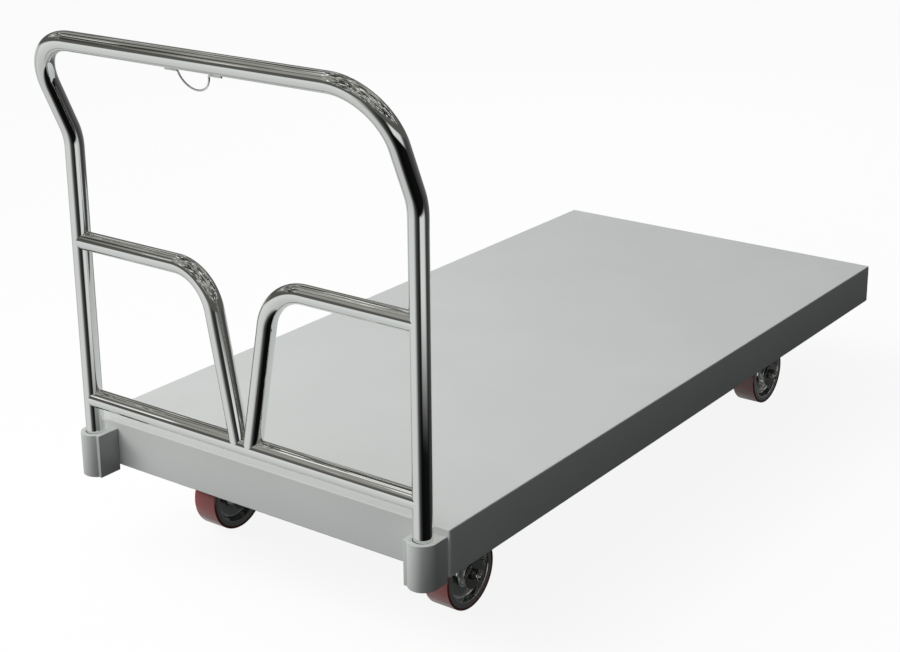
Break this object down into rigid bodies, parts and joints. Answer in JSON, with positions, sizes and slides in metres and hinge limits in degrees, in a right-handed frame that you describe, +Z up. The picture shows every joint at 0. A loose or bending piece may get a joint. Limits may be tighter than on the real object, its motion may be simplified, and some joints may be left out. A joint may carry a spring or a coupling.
{
  "type": "furniture dolly",
  "caption": "Platform dolly: a folded steel deck on swivel casters, with a lift-off chromed tube push handle that stands in sockets at one end.",
  "frame": {"origin": "centre of the deck's flat top surface, where a load rests", "axes": "+Z up, out of the load surface; +Y along the deck away from the push handle; +X to the right of a person standing at the handle"},
  "size_m": [0.762, 1.6491, 0.9453],
  "materials": {
    "deck_paint": "satin light grey paint",
    "socket_paint": "satin mid grey paint",
    "chrome_tube": "bright chrome plate",
    "caster_zinc": "zinc plate, slightly dull",
    "core_metal": "polished, dark grey",
    "red_tread": "satin dark red",
    "bearing_steel": "ground steel"
  },
  "bodies": {
    "deck": {"deck_pan": "deck_paint", "rear_caster_channel": "deck_paint", "front_caster_channel": "deck_paint", "left_deck_stiffener": "deck_paint", "right_deck_stiffener": "deck_paint", "left_handle_socket": "socket_paint", "right_handle_socket": "socket_paint", "rear_left_top_plate": "caster_zinc", "rear_left_plate_bolt_1": "caster_zinc", "rear_left_plate_bolt_2": "caster_zinc", "rear_left_plate_bolt_3": "caster_zinc", "rear_left_plate_bolt_4": "caster_zinc", "rear_left_kingpin": "caster_zinc", "rear_right_top_plate": "caster_zinc", "rear_right_plate_bolt_1": "caster_zinc", "rear_right_plate_bolt_2": "caster_zinc", "rear_right_plate_bolt_3": "caster_zinc", "rear_right_plate_bolt_4": "caster_zinc", "rear_right_kingpin": "caster_zinc", "front_left_top_plate": "caster_zinc", "front_left_plate_bolt_1": "caster_zinc", "front_left_plate_bolt_2": "caster_zinc", "front_left_plate_bolt_3": "caster_zinc", "front_left_plate_bolt_4": "caster_zinc", "front_left_kingpin": "caster_zinc", "front_right_top_plate": "caster_zinc", "front_right_plate_bolt_1": "caster_zinc", "front_right_plate_bolt_2": "caster_zinc", "front_right_plate_bolt_3": "caster_zinc", "front_right_plate_bolt_4": "caster_zinc", "front_right_kingpin": "caster_zinc"},
    "handle": {"handle_main_tube": "chrome_tube", "handle_lower_rail": "chrome_tube", "left_handle_brace": "chrome_tube", "right_handle_brace": "chrome_tube", "handle_wire_hook": "chrome_tube"},
    "rear_left_swivel": {"rear_left_fork": "caster_zinc", "rear_left_axle_bolt": "caster_zinc", "rear_left_axle_nut": "caster_zinc"},
    "rear_left_wheel": {"rear_left_wheel_core": "core_metal", "rear_left_tread": "red_tread", "rear_left_hub_bearing": "bearing_steel"},
    "rear_right_swivel": {"rear_right_fork": "caster_zinc", "rear_right_axle_bolt": "caster_zinc", "rear_right_axle_nut": "caster_zinc"},
    "rear_right_wheel": {"rear_right_wheel_core": "core_metal", "rear_right_tread": "red_tread", "rear_right_hub_bearing": "bearing_steel"},
    "front_left_swivel": {"front_left_fork": "caster_zinc", "front_left_axle_bolt": "caster_zinc", "front_left_axle_nut": "caster_zinc"},
    "front_left_wheel": {"front_left_wheel_core": "core_metal", "front_left_tread": "red_tread", "front_left_hub_bearing": "bearing_steel"},
    "front_right_swivel": {"front_right_fork": "caster_zinc", "front_right_axle_bolt": "caster_zinc", "front_right_axle_nut": "caster_zinc"},
    "front_right_wheel": {"front_right_wheel_core": "core_metal", "front_right_tread": "red_tread", "front_right_hub_bearing": "bearing_steel"}
  },
  "joints": [
    {"name": "handle_lift", "type": "slide", "parent": "deck", "child": "handle", "axis": [0, 0, 1], "range_m": [0, 0.15]},
    {"name": "rear_left_swivel_turn", "type": "hinge", "parent": "deck", "child": "rear_left_swivel", "pos_m": [-0.2562, -0.5346, -0.0831], "axis": [0, 0, 1], "continuous": true},
    {"name": "rear_left_wheel_roll", "type": "hinge", "parent": "rear_left_swivel", "child": "rear_left_wheel", "pos_m": [-0.2562, -0.5754, -0.1847], "axis": [1, 0, 0], "continuous": true},
    {"name": "rear_right_swivel_turn", "type": "hinge", "parent": "deck", "child": "rear_right_swivel", "pos_m": [0.2562, -0.5346, -0.0831], "axis": [0, 0, 1], "continuous": true},
    {"name": "rear_right_wheel_roll", "type": "hinge", "parent": "rear_right_swivel", "child": "rear_right_wheel", "pos_m": [0.2562, -0.5754, -0.1847], "axis": [1, 0, 0], "continuous": true},
    {"name": "front_left_swivel_turn", "type": "hinge", "parent": "deck", "child": "front_left_swivel", "pos_m": [-0.2562, 0.5346, -0.0831], "axis": [0, 0, 1], "continuous": true},
    {"name": "front_left_wheel_roll", "type": "hinge", "parent": "front_left_swivel", "child": "front_left_wheel", "pos_m": [-0.2562, 0.4938, -0.1847], "axis": [1, 0, 0], "continuous": true},
    {"name": "front_right_swivel_turn", "type": "hinge", "parent": "deck", "child": "front_right_swivel", "pos_m": [0.2562, 0.5346, -0.0831], "axis": [0, 0, 1], "continuous": true},
    {"name": "front_right_wheel_roll", "type": "hinge", "parent": "front_right_swivel", "child": "front_right_wheel", "pos_m": [0.2562, 0.4938, -0.1847], "axis": [1, 0, 0], "continuous": true}
  ]
}
